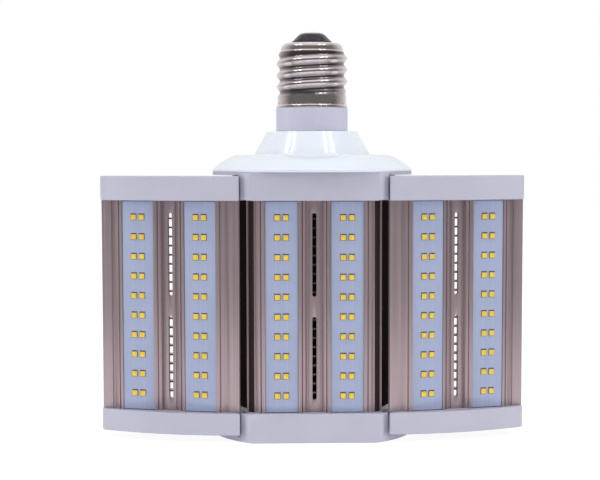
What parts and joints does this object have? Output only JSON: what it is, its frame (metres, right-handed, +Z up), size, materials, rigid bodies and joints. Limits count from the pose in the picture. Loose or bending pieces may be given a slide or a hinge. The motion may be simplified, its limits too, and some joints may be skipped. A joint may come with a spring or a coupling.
{
  "type": "corn led bulb",
  "caption": "Folding LED lamp: vented aluminium panels with LED strips on a round column, hinged side wings and a large screw base on top.",
  "frame": {"origin": "lamp axis at the flat underside of the lower column cap", "axes": "+Z up along the lamp axis to the screw base, middle panel faces -Y, wings spread along X"},
  "size_m": [0.2326, 0.111, 0.2229],
  "materials": {
    "cap_plastic": "satin moulded white plastic",
    "shoulder_plastic": "glossy moulded white plastic",
    "collar_plastic": "matt moulded white plastic",
    "extruded_aluminium": "bare extruded aluminium",
    "fin_aluminium": "bare sheet aluminium",
    "board_coating": "white coating on aluminium core boards",
    "led_phosphor": "yellow phosphor gel in a white package",
    "screw_steel": "plated steel",
    "shell_nickel": "nickel-plated drawn shell",
    "contact_tin": "tinned contact",
    "insulator_glass": "black glass insulator",
    "driver_laminate": "green laminate",
    "driver_ferrite": "dark ferrite core",
    "driver_sleeve": "dark sleeve"
  },
  "bodies": {
    "column": {"base_contact": "contact_tin", "base_insulator": "insulator_glass", "screw_shell": "shell_nickel", "neck_collar": "collar_plastic", "shoulder_housing": "shoulder_plastic", "column_lower_cap": "cap_plastic", "column_upper_cap": "cap_plastic", "column_heatsink": "extruded_aluminium", "column_left_board": "board_coating", "column_right_board": "board_coating", "column_leds": "led_phosphor", "column_fins": "fin_aluminium", "column_screws": "screw_steel", "driver_board": "driver_laminate", "driver_transformer": "driver_ferrite", "driver_capacitors": "driver_sleeve", "driver_choke": "driver_ferrite", "left_wing_lower_pin": "screw_steel", "left_wing_upper_pin": "screw_steel", "right_wing_lower_pin": "screw_steel", "right_wing_upper_pin": "screw_steel"},
    "left_wing": {"left_wing_heatsink": "extruded_aluminium", "left_wing_left_board": "board_coating", "left_wing_right_board": "board_coating", "left_wing_leds": "led_phosphor", "left_wing_fins": "fin_aluminium", "left_wing_screws": "screw_steel", "left_wing_lower_cap": "cap_plastic", "left_wing_upper_cap": "cap_plastic"},
    "right_wing": {"right_wing_heatsink": "extruded_aluminium", "right_wing_left_board": "board_coating", "right_wing_right_board": "board_coating", "right_wing_leds": "led_phosphor", "right_wing_fins": "fin_aluminium", "right_wing_screws": "screw_steel", "right_wing_lower_cap": "cap_plastic", "right_wing_upper_cap": "cap_plastic"}
  },
  "joints": [
    {"name": "left_wing_hinge", "type": "hinge", "parent": "column", "child": "left_wing", "pos_m": [-0.042, -0.031, 0.0738], "axis": [0, 0, -1], "range_deg": [-11, 58]},
    {"name": "right_wing_hinge", "type": "hinge", "parent": "column", "child": "right_wing", "pos_m": [0.042, -0.031, 0.0738], "axis": [0, 0, 1], "range_deg": [-11, 58]}
  ]
}
